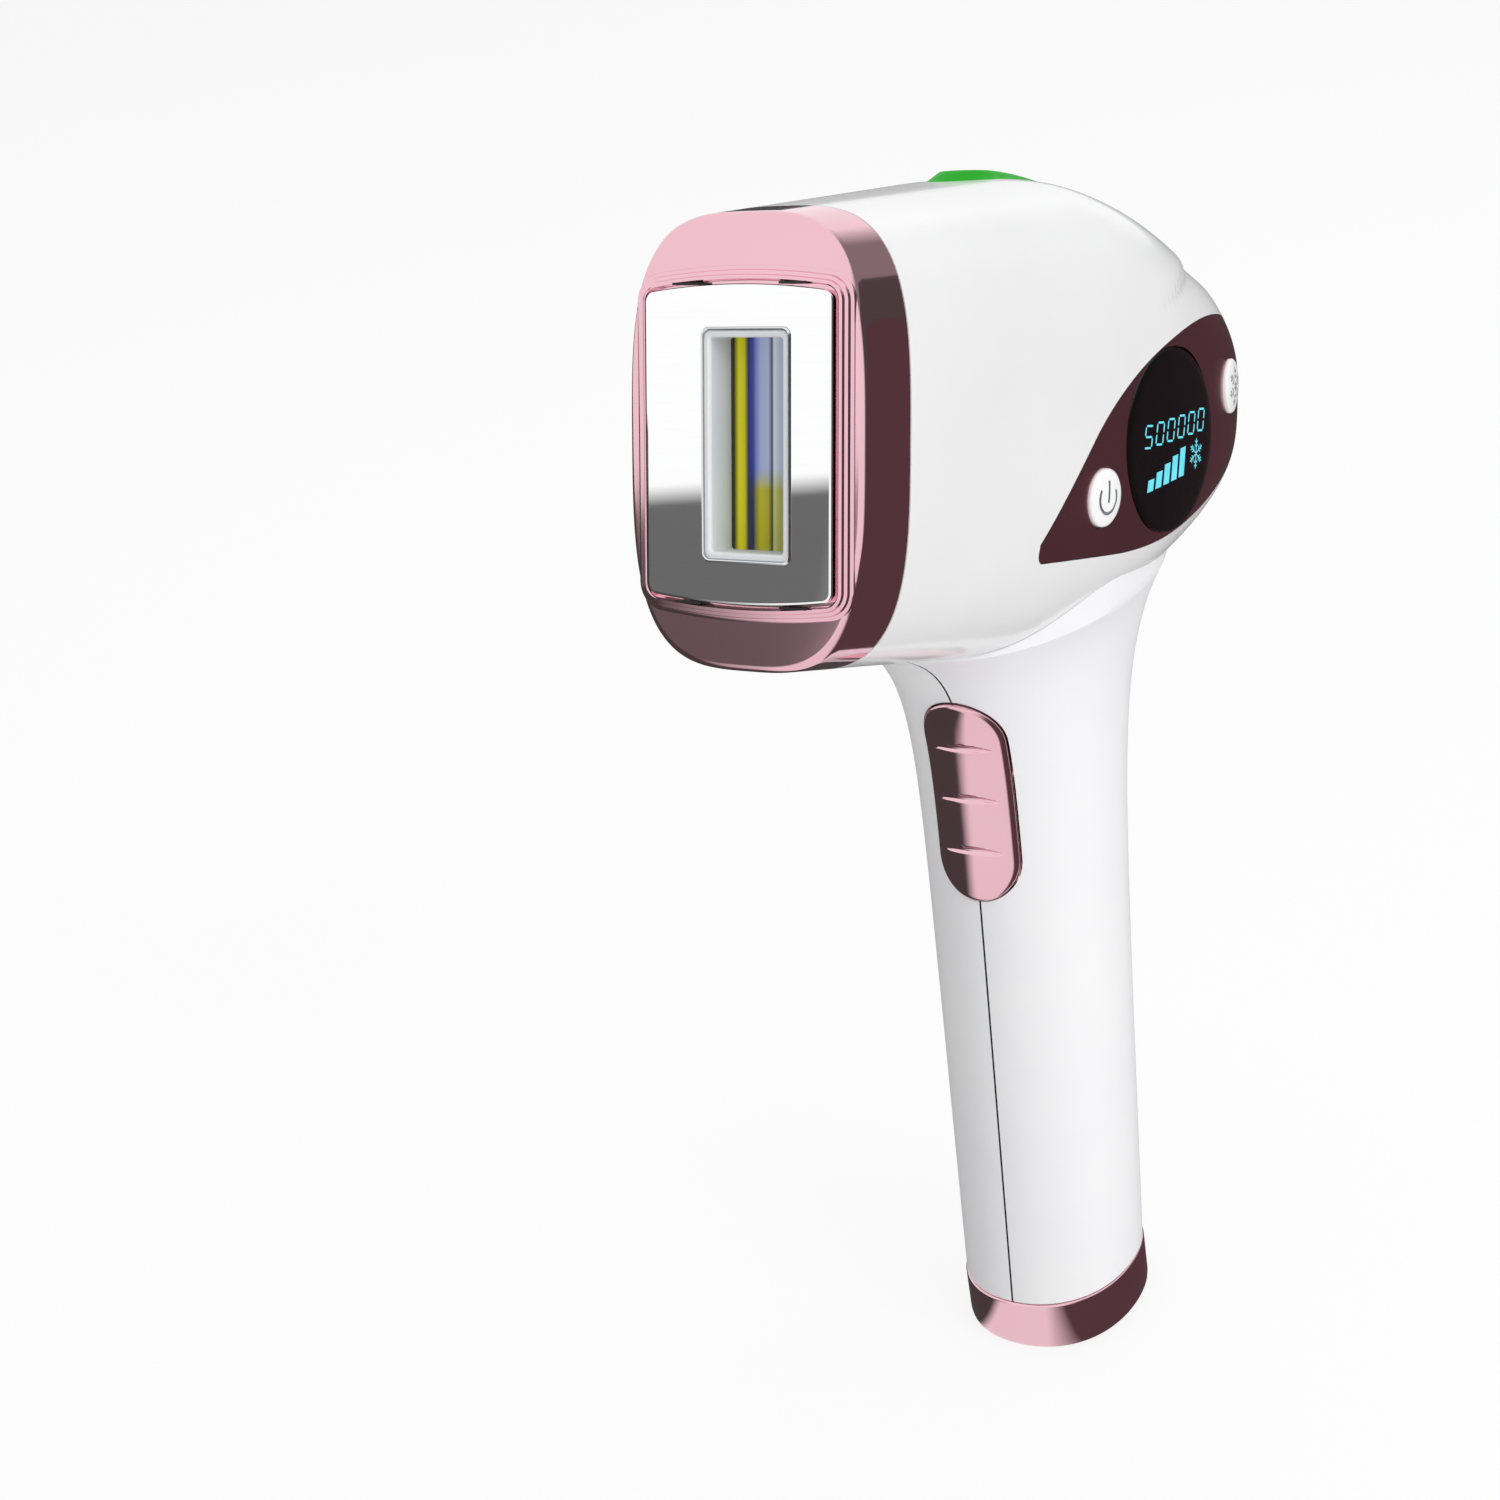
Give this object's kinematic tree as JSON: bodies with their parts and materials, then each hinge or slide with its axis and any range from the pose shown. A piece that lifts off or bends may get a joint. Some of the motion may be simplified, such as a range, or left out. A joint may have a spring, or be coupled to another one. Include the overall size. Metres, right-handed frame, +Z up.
{
  "type": "ipl hair remover",
  "caption": "Hand-held flash hair remover: pistol-shaped handset with pull-off lamp head, mirror cooling plate, display panel, trigger and end cap.",
  "frame": {"origin": "middle of the end cap's flat base, on which the handset stands", "axes": "+Z up, the lamp window faces -Y and 16 degrees up, +X is the side with the display"},
  "size_m": [0.0603, 0.138, 0.2145],
  "materials": {
    "gloss_white_abs": "moulded, polished",
    "satin_white_abs": "moulded, satin lacquer",
    "plum_metallic": "vacuum-metallised ABS, plum lacquer",
    "rose_metallic": "vacuum-metallised ABS, rose lacquer",
    "mirror_steel": "polished cooling plate",
    "chrome_trim": "polished",
    "white_frame": "moulded",
    "button_white": "moulded, engraved",
    "black_glass": "gloss black display window",
    "green_lens": "translucent green",
    "quartz": "clear quartz tube",
    "dichroic_glass": "yellow and blue coated filter",
    "reflector_alu": "bright reflector",
    "sink_alu": "extruded",
    "copper": "drawn tube",
    "gold_contact": "gold plated",
    "steel": "machined",
    "ceramic_white": "thermoelectric plate",
    "black_plastic": "moulded",
    "grey_plastic": "moulded",
    "circuit_board": "solder mask",
    "capacitor_sleeve": "printed sleeve, bare"
  },
  "bodies": {
    "housing": {"head_shell_left": "gloss_white_abs", "head_shell_right": "gloss_white_abs", "handle_shell_left": "satin_white_abs", "handle_shell_right": "satin_white_abs", "end_cap": "rose_metallic", "dc_inlet": "black_plastic", "status_lens": "green_lens", "control_panel": "plum_metallic", "display_window": "black_glass", "display_module": "black_plastic", "display_board": "circuit_board", "power_switch": "black_plastic", "cooling_switch": "black_plastic", "chassis": "grey_plastic", "lamp_socket": "black_plastic", "contact_block": "black_plastic", "main_board": "circuit_board", "charger_board": "circuit_board", "heat_sink": "sink_alu", "cooling_module": "ceramic_white", "heat_pipes": "copper", "fan_frame": "black_plastic", "flash_capacitor": "capacitor_sleeve", "trigger_guide": "grey_plastic", "trigger_switch": "black_plastic", "trigger_spring": "steel", "housing_screws": "steel"},
    "lamp_head": {"lamp_casing": "plum_metallic", "lamp_back": "grey_plastic", "cooling_plate": "mirror_steel", "skin_sensors": "black_plastic", "window_trim": "chrome_trim", "window_frame": "white_frame", "filter_glass": "dichroic_glass", "lamp_tube": "quartz", "lamp_electrodes": "steel", "reflector": "reflector_alu", "contact_pins": "gold_contact"},
    "trigger": {"trigger": "rose_metallic"},
    "power_button": {"power_button": "button_white"},
    "cooling_button": {"cooling_button": "button_white"},
    "fan": {"fan_rotor": "black_plastic"}
  },
  "joints": [
    {"name": "lamp_release", "type": "slide", "parent": "housing", "child": "lamp_head", "axis": [0, -0.9613, 0.2756], "range_m": [0, 0.026]},
    {"name": "trigger_press", "type": "slide", "parent": "housing", "child": "trigger", "axis": [0, 0.9959, -0.0906], "range_m": [0, 0.0015], "stiffness_N_per_m": 900, "springref_m": -0.002, "deforming": ["trigger_spring"]},
    {"name": "power_press", "type": "slide", "parent": "housing", "child": "power_button", "axis": [-0.9917, 0.1252, 0.0304], "range_m": [0, 0.0006], "stiffness_N_per_m": 1200, "springref_m": -0.001},
    {"name": "cooling_press", "type": "slide", "parent": "housing", "child": "cooling_button", "axis": [-0.9869, -0.1571, 0.0364], "range_m": [0, 0.0006], "stiffness_N_per_m": 1200, "springref_m": -0.001},
    {"name": "fan_spin", "type": "hinge", "parent": "housing", "child": "fan", "pos_m": [-0.0145, -0.00215, 0.16903], "axis": [1, 0, 0], "continuous": true}
  ]
}
